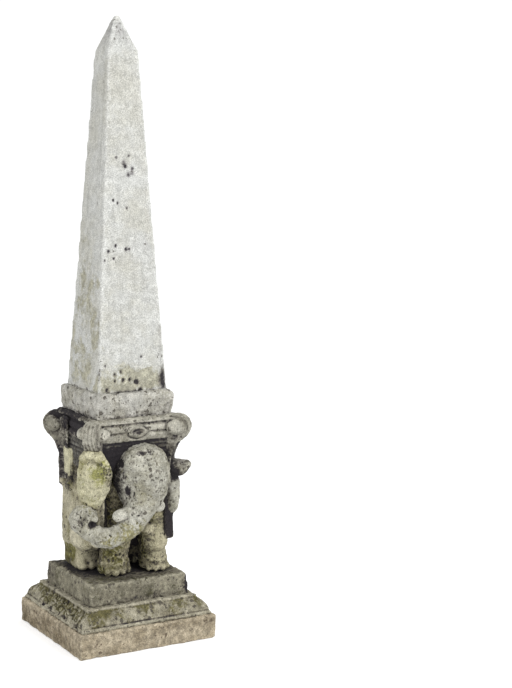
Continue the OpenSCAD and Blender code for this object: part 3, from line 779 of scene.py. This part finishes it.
leg_stone = stone("mossy leg stone", (0.37, 0.34, 0.225), (0.19, 0.175, 0.095), green=(0.17, 0.16, 0.04),
                  mossy=0.50, dirt=0.10, spots=0.46, streaks=0.25, bloom=0.55)
front_grit, hind_grit, hind_toes = 0.0028, 0.0030, 4
for name, x, y, wide, deep, arm in (("front_right_leg", -0.039, -0.058, 0.052, 0.052, (-0.050, -0.088, 0.41)),
                                    ("front_left_leg", 0.094, -0.074, 0.046, 0.052, (0.078, -0.096, 0.43))):
    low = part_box(name)[0]
    bm = bmesh.new()
    swell(bm, ((x, y, low.z + 0.018), 1, (wide, deep, 0.026)),
          ((x, y, low.z + 0.040), 1, (wide * 0.98, deep * 0.98, 0.026)))
    swell(bm, ((x, y + 0.002, low.z + 0.035), 1, (wide * 0.93, deep * 0.93, 0.026)),
          ((x * 0.93, y, low.z + 0.115), 1, (wide * 0.92, deep * 0.92, 0.030)))
    swell(bm, ((x * 0.94, y - 0.018, low.z + 0.100), 0.043), (arm, 0.035))
    knee = (arm[0] - (0.004 if x < 0 else 0.024), y - 0.044, low.z + 0.146)
    swell(bm, (knee, 0.021, (1.1, 0.9, 1.0)))
    limb(bm, (arm, 0.034), ((arm[0] * 1.22, -0.092, 0.50), 0.029))
    for toe in (-0.85, -0.28, 0.28, 0.85):
        swell(bm, ((x + (wide - 0.006) * math.sin(toe), y - (deep - 0.006) * math.cos(toe), low.z + 0.013),
                   0.0125, (1, 1, 1.1)))
    leg = weld(name + "_column", bm, front_grit, 3)
    set_down(leg, low.z - 0.001)
    stroke(leg, [(x - wide, y - deep * 0.7, low.z + 0.032), (x, y - deep - 0.004, low.z + 0.030),
                 (x + wide, y - deep * 0.7, low.z + 0.032)], 0.009, 0.003)
    weather(leg, 9, lumps=0.0034, rough=0.0026, chips=0.003, pits=0.0026, pit_scale=60)
    # Painted shade darkens each foot where it meets the slab and the backs of the legs, the right one most.
    add_piece(name + "_column", leg, leg_stone, [name],
              [((x, y + 0.03, low.z + 0.06), (0.08, 0.05, 0.14), 0.35 if x < 0 else 0.1),
               ((x, y, low.z), (0.08, 0.08, 0.008), 0.5)],
              [((knee[0], knee[1] - 0.018, knee[2] + 0.002), (0.03, 0.03, 0.025), -1.0),
               ((x, y - 0.05, low.z + 0.09), (0.06, 0.05, 0.10), 0.0 if x < 0 else -0.8),
               ((x, y - deep, low.z + 0.012), (0.06, 0.03, 0.016), -0.5),
               ((x - 0.02, y - 0.03, low.z + 0.08), (0.05, 0.05, 0.06), 0.3)])
for name, side in (("hind_right_leg", -1), ("hind_left_leg", 1)):
    low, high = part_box(name)
    outer = low.x if side < 0 else high.x
    bm = bmesh.new()
    block(bm, low + Vector((-0.004, 0.004, -0.001)), high - Vector((-0.004, 0.004, -0.006)), 0.016)
    for toe in range(hind_toes):
        y = low.y + (high.y - low.y) * (toe + 0.5) / hind_toes
        swell(bm, ((outer - side * 0.008, y, low.z + 0.016), 0.0155, (0.7, 0.95, 1.0)),
              ((outer - side * 0.012, y, low.z + 0.050), 0.0145, (0.7, 0.95, 1.0)))
        swell(bm, ((outer - side * 0.026 * (toe + 0.6), low.y + 0.004, low.z + 0.014), 0.0135,
                   (0.95, 0.7, 1.0)))
    leg = weld(name + "_column", bm, hind_grit, 3)
    set_down(leg, low.z - 0.001)
    weather(leg, 10, lumps=0.0026, rough=0.0020, chips=0.003, pits=0.002, pit_scale=60)
    # Painted shade darkens each foot where it meets the slab and the inner front of the leg under the belly.
    add_piece(name + "_column", leg, leg_stone, [name],
              [((outer, (low.y + high.y) / 2, low.z), (0.05, 0.09, 0.008), 0.5),
               ((0, low.y, low.z + 0.05), (0.05, 0.05, 0.08), 1.4),
               ((outer, low.y, low.z + 0.04), (0.08, 0.06, 0.06), -0.35)],
              [((outer - side * 0.02, low.y, low.z + 0.025), (0.07, 0.05, 0.06), -1.0),
               ((outer, 0.05, low.z + 0.05), (0.03, 0.04, 0.04), 0.5)])


# A short tail lies flat against the rump, cast with it. Rings are cut across it, as on a
# twisted cord.
low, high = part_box("tail")
bm = bmesh.new()
limb(bm, ((0, high.y - 0.016, 0.50), 0.0150), ((0.010, high.y - 0.016, 0.40), 0.0125),
     ((0.004, high.y - 0.016, 0.335), 0.0145))
tail = weld("tail_cord", bm, 0.0028, 3)
for step in range(9):
    z = 0.345 + 0.018 * step
    stroke(tail, [(-0.02, high.y, z), (0.03, high.y, z + 0.006)], 0.006, 0.0016)
weather(tail, 11, lumps=0.001, rough=0.0008, chips=0.001)
add_piece("tail_cord", tail, elephant_stone, ["tail"])


# A square-ended flap hangs down each flank under the capital, with a round knob below it.
# Both stand out from the body as low relief in the same stone.
for name, side in (("right_saddle_flap", -1), ("left_saddle_flap", 1)):
    edge_in, edge_out = side * 0.124, side * 0.1435
    bm = bmesh.new()
    block(bm, (min(edge_in, edge_out), 0.037, 0.517), (max(edge_in, edge_out), 0.097, 0.606), 0.004)
    swell(bm, ((side * 0.131, 0.055, 0.530), 0.013), ((side * 0.132, 0.068, 0.478), 0.016))
    swell(bm, ((side * 0.133, 0.074, 0.477), 0.020, (0.6, 1.6, 0.9)))
    flap = weld(name + "_tab", bm, clay_grit, 2)
    stroke(flap, [(edge_out, 0.044, 0.600), (edge_out, 0.044, 0.525)], 0.006, 0.002)
    stroke(flap, [(edge_out, 0.088, 0.600), (edge_out, 0.088, 0.525)], 0.006, 0.002)
    weather(flap, 12, lumps=0.0016, rough=0.0011, chips=0.002)
    # Painted shade darkens the body under the flap and round the knob, and beside the flap's front edge.
    add_piece(name + "_tab", flap, ear_stone, [name],
              [((side * 0.14, 0.075, 0.478), (0.03, 0.045, 0.026), 0.9),
               ((side * 0.14, 0.06, 0.505), (0.03, 0.05, 0.016), 0.8),
               ((side * 0.14, 0.040, 0.53), (0.02, 0.012, 0.05), 0.6)],
              [((side * 0.145, 0.075, 0.57), (0.02, 0.04, 0.05), -0.5)])


# The capital's bell flares up to a banded channel with two grooves and a thin cover. Soot and painted shade
# darken the bell under the overhang and behind the head, and painted shade lies over the top of the right
# side.
low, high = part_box("capital_bell")
foot_half, bell_half = 0.1365, 0.1480
levels = [(foot_half - 0.004, low.z - 0.006), (foot_half, low.z)]
for step in range(1, 8):
    part = step / 8
    levels.append((foot_half + (bell_half - foot_half) * part ** 1.7, low.z + (high.z - low.z) * part))
levels.append((bell_half, high.z + 0.005))
bell = weld("capital_bell_flare", square_stack(levels), 0.0037, 2)
for z, depth in ((0.590, 0.0014), (0.604, 0.0014), (0.619, 0.0028), (0.634, 0.0022), (0.647, 0.0028)):
    out = foot_half + (bell_half - foot_half) * ((z - low.z) / (high.z - low.z)) ** 1.7
    stroke(bell, square_ring(out, z), 0.0065, depth)
weather(bell, 13, lumps=0.0016, rough=0.0014, chips=0.003, pits=0.0014)
capital_stone = stone("capital stone", (0.39, 0.375, 0.315), (0.25, 0.235, 0.185), green=(0.19, 0.18, 0.09),
                      mossy=0.10, dirt=0.0, spots=0.40, streaks=0.35, bloom=0.5)
bell_soot_and_shade = [((0, side * 0.145, 0.60), (0.24, 0.03, 0.10), 0.40) for side in (-1, 1)]
bell_soot_and_shade += [((side * 0.145, 0, 0.60), (0.03, 0.24, 0.10), 0.40) for side in (-1, 1)]
bell_stone = stone("sooty bell stone", (0.155, 0.15, 0.13), (0.10, 0.095, 0.08), green=(0.13, 0.125, 0.07),
                   mossy=0.10, dirt=0.02, spots=0.40, streaks=0.35, bloom=0.3)
add_piece("capital_bell_flare", bell, bell_stone, ["capital_bell"],
          bell_soot_and_shade + [((-0.02, -0.145, 0.60), (0.16, 0.04, 0.08), 0.6)])
low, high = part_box("capital_channel")
channel = weld("capital_channel_band", square_stack([
    (high.x - 0.004, low.z - 0.004), (high.x - 0.001, low.z + 0.002), (high.x, low.z + 0.012),
    (high.x, low.z + 0.018), (high.x - 0.007, low.z + 0.020), (high.x - 0.007, low.z + 0.025),
    (high.x - 0.001, low.z + 0.027), (high.x - 0.001, low.z + 0.044), (high.x - 0.009, low.z + 0.046),
    (high.x - 0.009, low.z + 0.053), (high.x, low.z + 0.055), (high.x, high.z + 0.002)]), 0.0029, 1)
for side in (-1, 1):
    stroke(channel, [(0.035 * math.cos(a), side * high.x, 0.681 + 0.0215 * math.sin(a))
                     for a in np.linspace(0, 2 * math.pi, 19)], 0.006, 0.005)
weather(channel, 14, lumps=0.0018, rough=0.0014, chips=0.004, pits=0.0014)
# Painted shade lies over the right side of the channel and of the cover.
right_side_shade = [((-0.150, 0.03, 0.710), (0.04, 0.16, 0.05), 1.2),
              ((-0.150, -0.02, 0.675), (0.03, 0.12, 0.05), 0.9)]
add_piece("capital_channel_band", channel, capital_stone, ["capital_channel"],
          right_side_shade + [((0, side * 0.15, low.z + 0.050), (0.15, 0.03, 0.006), 0.2) for side in (-1, 1)],
          [((0.05, -0.152, low.z + 0.036), (0.14, 0.03, 0.012), -0.7),
           ((0, -0.152, high.z), (0.15, 0.03, 0.010), -0.6)])
low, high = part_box("capital_cover")
cover = weld("capital_cover_slab", square_stack([
    (high.x - 0.001, low.z - 0.003), (high.x - 0.002, low.z + 0.004),
    (high.x - 0.012, high.z + 0.001)]), 0.0034, 1)
weather(cover, 15, lumps=0.0014, rough=0.0014, chips=0.005)
add_piece("capital_cover_slab", cover, capital_stone, ["capital_cover"],
          [((-0.15, 0.05, 0.722), (0.05, 0.19, 0.03), 1.0)])


# A pointed oval boss sits in the middle of the channel, front and back, in the groove that
# is cut round it. A lid line crosses it, dark with soot.
for name, side in (("front_cartouche", -1), ("back_cartouche", 1)):
    low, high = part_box(name)
    centre = (low + high) / 2
    wide, tall = high.x - centre.x, high.z - centre.z
    bm = bmesh.new()
    swell(bm, ((centre.x, side * 0.1490, centre.z), 1, (wide * 0.78, 0.012, tall * 0.80)),
          ((centre.x - wide * 0.90, side * 0.1500, centre.z - 0.004), 1, (wide * 0.10, 0.005, tall * 0.15)),
          ((centre.x + wide * 0.90, side * 0.1500, centre.z + 0.001), 1, (wide * 0.10, 0.005, tall * 0.15)))
    boss = weld(name + "_boss", bm, 0.0022, 3)
    lid = [(centre.x - wide * 0.85, side * 0.155, centre.z - 0.002),
           (centre.x - wide * 0.35, side * 0.158, centre.z + 0.009),
           (centre.x + wide * 0.2, side * 0.159, centre.z + 0.011),
           (centre.x + wide * 0.85, side * 0.155, centre.z + 0.002)]
    stroke(boss, lid, 0.006, 0.003)
    weather(boss, 16, lumps=0.001, rough=0.0009, chips=0.001)
    add_piece(name + "_boss", boss, capital_stone, [name],
              [((centre.x - 0.004, side * 0.16, centre.z + 0.004), (0.030, 0.02, 0.013), 0.9)])


# A drop of overlapping leaves hangs from the channel on each side: four tiers that get
# smaller, of three lobes each, under a short bar.
for name, side in (("right_leaf_pendant", -1), ("left_leaf_pendant", 1)):
    low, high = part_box(name)
    mid_y = (low.y + high.y) / 2
    bm = bmesh.new()
    for z, half, out in ((0.694, 0.028, 0.157), (0.664, 0.025, 0.156), (0.635, 0.019, 0.154),
                         (0.612, 0.011, 0.151)):
        for lean in (-0.62, 0, 0.62):
            swell(bm, ((side * (out - 0.003 * abs(lean)), mid_y + lean * half, z), half * 0.34, (0.7, 1, 1)),
                  ((side * (out - 0.004), mid_y + lean * half * 1.25, z - half * 0.75), half * 0.12))
    swell(bm, ((side * 0.149, mid_y, 0.700), 0.008, (0.6, 3.0, 1.2)),
          ((side * 0.147, mid_y, 0.610), 0.006, (0.6, 1.2, 1)))
    drop = weld(name + "_leaves", bm, 0.0019, 1)
    weather(drop, 17, lumps=0.001, rough=0.0010, chips=0.001)
    add_piece(name + "_leaves", drop, capital_stone, [name],
              [((side * 0.16, mid_y - 0.006, 0.700), (0.03, 0.04, 0.06), 1.1),
               ((side * 0.16, mid_y, 0.61), (0.03, 0.04, 0.04), 0.9)],
              [((side * 0.16, mid_y + 0.02, 0.67), (0.02, 0.014, 0.04), -0.8)])


# At each corner a horn sweeps out of the bell and rolls over in a scroll. A fluted strap
# wraps over the roll and hangs down the horn, and a round eye bulges from both of its ends.
def turned(spin, places):
    return [tuple(spin @ Vector(place)) for place in places]


scroll_reach, scroll_z, strap_half = 0.206, 0.682, 0.0205
profile = [(0.190, 0.500), (0.192, 0.560), (0.193, 0.585), (0.198, 0.601), (0.205, 0.618), (0.216, 0.635),
           (0.229, 0.648), (0.238, 0.660), (0.244, 0.676), (0.2435, 0.690), (0.237, 0.705), (0.224, 0.717),
           (0.206, 0.721)]
for name, turn, lift, slide, eyes, eye_radius, sunk in (
        ("front_right_scroll", -135, 0.001, -0.009, (-0.030, 0.038), 0.0188, 0.020),
        ("front_left_scroll", -45, 0.005, 0.0, (-0.026, 0.026), 0.0245, 0.013),
        ("back_right_scroll", 135, -0.006, 0.0, (-0.026, 0.026), 0.0245, 0.013),
        ("back_left_scroll", 45, 0.0, 0.0, (-0.026, 0.026), 0.0245, 0.013)):
    bm = bmesh.new()
    rolled = [(r - sunk * min(1, max(0, (z - 0.640) / 0.012)), z - 0.008 * max(0, (z - 0.69) / 0.03))
              for r, z in profile]
    for half, grow, part in ((strap_half, 0.0025, profile[5:]), (strap_half + 0.006, -0.0025, rolled)):
        outline = [(part[0][0] - 0.05, part[0][1])] + [(r + grow, z) for r, z in part]
        outline.append((0.150, part[-1][1] - 0.002))
        corners = [bm.verts.new((r, -half, z)) for r, z in outline]
        grown = bmesh.ops.extrude_face_region(bm, geom=[bm.faces.new(corners)])["geom"]
        far_side = [g for g in grown if isinstance(g, bmesh.types.BMVert)]
        bmesh.ops.translate(bm, vec=(0, 2 * half, 0), verts=far_side)
    bmesh.ops.recalc_face_normals(bm, faces=bm.faces)
    disc = 0.0285 - 1.3 * (sunk - 0.013)
    for eye in eyes:
        swell(bm, ((scroll_reach + 0.003, eye, scroll_z + 0.003), eye_radius, (1.05, 0.92, 1.06)),
              ((scroll_reach - 0.010, eye, scroll_z), eye_radius * 0.9))
        lie = Matrix.Translation((scroll_reach - (sunk - 0.013), math.copysign(0.027, eye), scroll_z))
        lie = lie @ Matrix.Rotation(math.pi / 2, 4, "X")
        bmesh.ops.create_cone(bm, cap_ends=True, segments=48, radius1=disc, radius2=disc, depth=0.006,
                              matrix=lie)
    spin = Matrix.Translation((0, 0, lift)) @ Matrix.Rotation(math.radians(turn), 4, "Z")
    spin = spin @ Matrix.Translation((0, slide, 0))
    bmesh.ops.transform(bm, matrix=spin, verts=bm.verts)
    scroll = weld(name + "_horn", bm, 0.0025, 1)
    for flute in (-0.012, 0.0, 0.012):
        run = [(0.2205, flute, 0.637), (0.2325, flute, 0.649), (0.2465, flute, 0.672), (0.245, flute, 0.694),
               (0.228, flute, 0.716)]
        stroke(scroll, turned(spin, run), 0.0048, 0.0030)
    for side in (-1, 1):
        rim = [(scroll_reach + 0.029 * math.cos(a), side * 0.031, scroll_z + 0.030 * math.sin(a))
               for a in np.linspace(0, 2 * math.pi, 17)]
        stroke(scroll, turned(spin, rim), 0.006, 0.004)
    seams = []
    for side in (-1, 1):
        seam = turned(spin, [(r, side * (strap_half + 0.0035), z) for r, z in (
            (0.226, 0.645), (0.2375, 0.658), (0.2415, 0.672), (0.2415, 0.688), (0.235, 0.704))])
        stroke(scroll, seam, 0.0060, 0.0065)
        seams += seam
    weather(scroll, 18 + turn / 45, lumps=0.0020, rough=0.0014, chips=0.003, pits=0.0014)
    under_strap, horn_hollow, strap_face = turned(
        spin, [(0.205, 0, 0.628), (0.19, 0, 0.60), (0.24, 0, 0.672)])
    under_rolls = turned(spin, [(scroll_reach, side * 0.032, scroll_z - 0.034) for side in (-1, 1)])
    rolls = turned(spin, [(scroll_reach, side * 0.045, scroll_z) for side in (-1, 1)])
    eye_faces = turned(spin, [(scroll_reach, eye * 1.5, scroll_z) for eye in eyes])
    # Painted shade darkens the seams beside the strap, under the strap and the rolls and in the horn's
    # hollow, and on the back right scroll the far corner of the capital and body; the eye faces are painted
    # lighter.
    soot_and_shade_marks = [(under_strap, (0.03, 0.03, 0.012), 0.8), (horn_hollow, (0.05, 0.05, 0.05), 0.6)]
    soot_and_shade_marks += [(at, (0.0065, 0.0065, 0.012), 1.3) for at in seams]
    soot_and_shade_marks += [(at, (0.03, 0.03, 0.012), 0.5) for at in under_rolls]
    soot_and_shade_marks += [(at, (0.020, 0.020, 0.022), -0.6) for at in eye_faces]
    clean = [(at, (0.034, 0.034, 0.036), -1.0) for at in rolls] + [(strap_face, (0.03, 0.03, 0.04), -0.6)]
    if name == "back_right_scroll":
        soot_and_shade_marks += [((-0.135, 0.13, 0.715), (0.06, 0.07, 0.05), 1.2),
                  ((-0.14, 0.14, 0.53), (0.05, 0.05, 0.12), 1.3)]
        clean = []
    add_piece(name + "_horn", scroll, capital_stone, [name], soot_and_shade_marks, clean)


# The collar is a separate cast block with a worn, rounded top, and soot and painted shade lie along its foot.
# The shaft stands on it.
low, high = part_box("collar")
collar = weld("collar_block", square_stack([
    (0.130, low.z - 0.002), (0.132, low.z + 0.003), (high.x, low.z + 0.045), (high.x, high.z - 0.014),
    (high.x - 0.004, high.z - 0.005), (high.x - 0.012, high.z)]), 0.0036, 2)
weather(collar, 30, lumps=0.0022, rough=0.0016, chips=0.007, pits=0.0012)
collar_stone = stone("collar stone", (0.465, 0.455, 0.415), (0.36, 0.345, 0.29), green=(0.34, 0.32, 0.20),
                     mossy=0.06, dirt=-0.04, spots=0.36, streaks=0.40, bloom=0.5)
add_piece("collar_block", collar, collar_stone, ["collar"],
          [((0.135, -0.12, 0.77), (0.03, 0.05, 0.05), 0.40),
           ((0.01, -0.135, 0.727), (0.16, 0.02, 0.010), 0.3),
           ((-0.135, 0.02, 0.727), (0.02, 0.16, 0.012), 0.5)])


# The shaft and its pyramid point are one long casting of paler stone with soft arrises. It
# is clean but for a broken place high on its face and crust along its foot and left edge.
low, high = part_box("shaft")
tip_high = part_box("point")[1]
top_width, tip_half, tip_wear = 0.052, 0.007, 0.009
shaft = weld("shaft_and_point", square_stack([
    (high.x, low.z - 0.004), (top_width, high.z), (tip_half, tip_high.z - tip_wear)]), 0.0041, 9)


def on_front(x, z):
    return (x, -(high.x - (high.x - top_width) * (z - low.z) / (high.z - low.z)), z)


def on_right(y, z):
    return (on_front(0, z)[1], y, z)


spots = [(-0.061, 0.861, 0.009), (-0.062, 0.842, 0.007), (-0.040, 0.869, 0.007), (-0.034, 0.842, 0.008),
         (0.014, 0.834, 0.010), (0.008, 0.835, 0.008), (-0.011, 0.843, 0.006), (-0.093, 0.890, 0.006),
         (-0.118, 0.899, 0.007), (-0.090, 0.814, 0.010), (0.026, 0.806, 0.009), (-0.035, 1.392, 0.006),
         (-0.004, 1.376, 0.007), (-0.049, 1.401, 0.006), (-0.085, 1.216, 0.007), (-0.071, 1.244, 0.006),
         (-0.046, 1.260, 0.007), (-0.053, 1.221, 0.006), (-0.010, 1.249, 0.008), (0.000, 1.249, 0.006),
         (0.032, 0.912, 0.006), (-0.010, 1.515, 0.012), (-0.005, 1.504, 0.008), (0.006, 1.478, 0.010),
         (0.018, 1.485, 0.010), (0.020, 1.497, 0.007), (0.008, 1.537, 0.006), (-0.035, 1.532, 0.007)]
stains_and_shade = [(on_front(x, z), (size * 1.1, 0.02, size * 1.3), 0.50 if z < 1.45 else 0.42)
          for x, z, size in spots]
stains_and_shade += [(on_front(x, 0.806), (0.014, 0.02, 0.006), 0.55)
           for x in (-0.075, -0.056, -0.044, -0.022, 0.002, 0.014, 0.05, 0.068)]
stains_and_shade += [(on_right(-0.035, 1.390), (0.02, 0.004, 0.012), 1.0),
           (on_right(0.034, 0.865), (0.02, 0.010, 0.010), 0.7), ((0, 0, 1.96), (0.10, 0.10, 0.16), 0.60),
           ((0, 0, 0.800), (0.30, 0.30, 0.007), 0.6), ((-0.116, -0.116, 0.88), (0.008, 0.008, 0.10), 0.9),
           (on_right(-0.032, 0.806), (0.02, 0.012, 0.010), 0.9),
           (on_right(0.05, 0.806), (0.02, 0.03, 0.006), 0.7),
           (on_front(0.002, 1.498), (0.032, 0.02, 0.036), 0.35),
           (on_front(0.063, 1.27), (0.03, 0.03, 0.05), 0.35),
           (on_front(0.112, 0.835), (0.030, 0.03, 0.05), 1.0),
           (on_front(0.105, 0.93), (0.018, 0.03, 0.12), 0.55),
           (on_front(0.10, 1.03), (0.014, 0.03, 0.10), 0.35),
           (on_front(0.03, 0.83), (0.12, 0.03, 0.045), 0.25),
           (on_front(-0.02, 1.24), (0.10, 0.03, 0.06), 0.2)]
stains_and_shade.append(((-0.1115, -0.1100, 0.95), (0.010, 0.014, 0.14), 0.45))
points, outward = read_mesh(shaft)
pock = np.zeros(len(points))
for x, z, size in spots:
    away = np.linalg.norm((points - np.array(on_front(x, z))) / np.array((size, 0.02, size * 1.2)), axis=1)
    pock = np.maximum(pock, np.clip(1.3 - away, 0, 1))
write_mesh(shaft, points - outward * (0.0035 * pock)[:, None])
weather(shaft, 31, lumps=0.0010, rough=0.0008, chips=0.003, pits=0.0006)
shaft_stone = stone("shaft stone", (0.575, 0.58, 0.555), (0.52, 0.515, 0.465), green=(0.47, 0.45, 0.335),
                    mossy=0.05, dirt=-0.12, spots=0.02, streaks=0.26, bloom=0.25, crust=(0.15, 0.14, 0.12),
                    uneven=0.5)
add_piece("shaft_and_point", shaft, shaft_stone, ["shaft", "point"], stains_and_shade,
          [(on_front(0, 0.82), (0.18, 0.06, 0.09), 0.75), ((-0.105, 0, 0.90), (0.04, 0.18, 0.55), 0.40)])


# Shelter: how much of the sky each part of the stone's skin can't see, by casting a few short rays from it.
# Black soot and painted shade are laid where it is high.
skins = [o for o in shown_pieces() if "hollow" in o.data.attributes]
corners, faces, first = [], [], 0
for piece in skins:
    thin = piece.data
    corners += [v.co.copy() for v in thin.vertices]
    faces += [tuple(first + i for i in p.vertices) for p in thin.polygons]
    first += len(thin.vertices)
whole = BVHTree.FromPolygons(corners, faces)
looks, rays, ray_reach, cell_size = [], 16, 0.10, 0.008
for i in range(rays):
    lift = 1 - (i + 0.5) / rays
    spin = i * math.pi * (3 - math.sqrt(5))
    level_part = math.sqrt(1 - lift * lift)
    looks.append(Vector((math.cos(spin) * level_part, math.sin(spin) * level_part, lift)))
for piece in skins:
    points, outward = read_mesh(piece.data)
    cell = np.round(points / cell_size).astype(int) * 10 + np.round(outward * 2).astype(int)
    _, pick, back = np.unique(cell, axis=0, return_index=True, return_inverse=True)
    hidden = np.zeros(len(pick))
    for k, index in enumerate(pick):
        normal = Vector(outward[index])
        turn = Vector((0, 0, 1)).rotation_difference(normal)
        start = Vector(points[index]) + normal * 0.004
        hidden[k] = sum(whole.ray_cast(start, turn @ look, ray_reach)[0] is not None
                        for look in looks) / len(looks)
    shelter = piece.data.attributes.new("shelter", "FLOAT", "POINT")
    spread = even_out(piece.data, hidden[back.reshape(-1)], 5)
    shelter.data.foreach_set("value", spread.astype(np.float32))
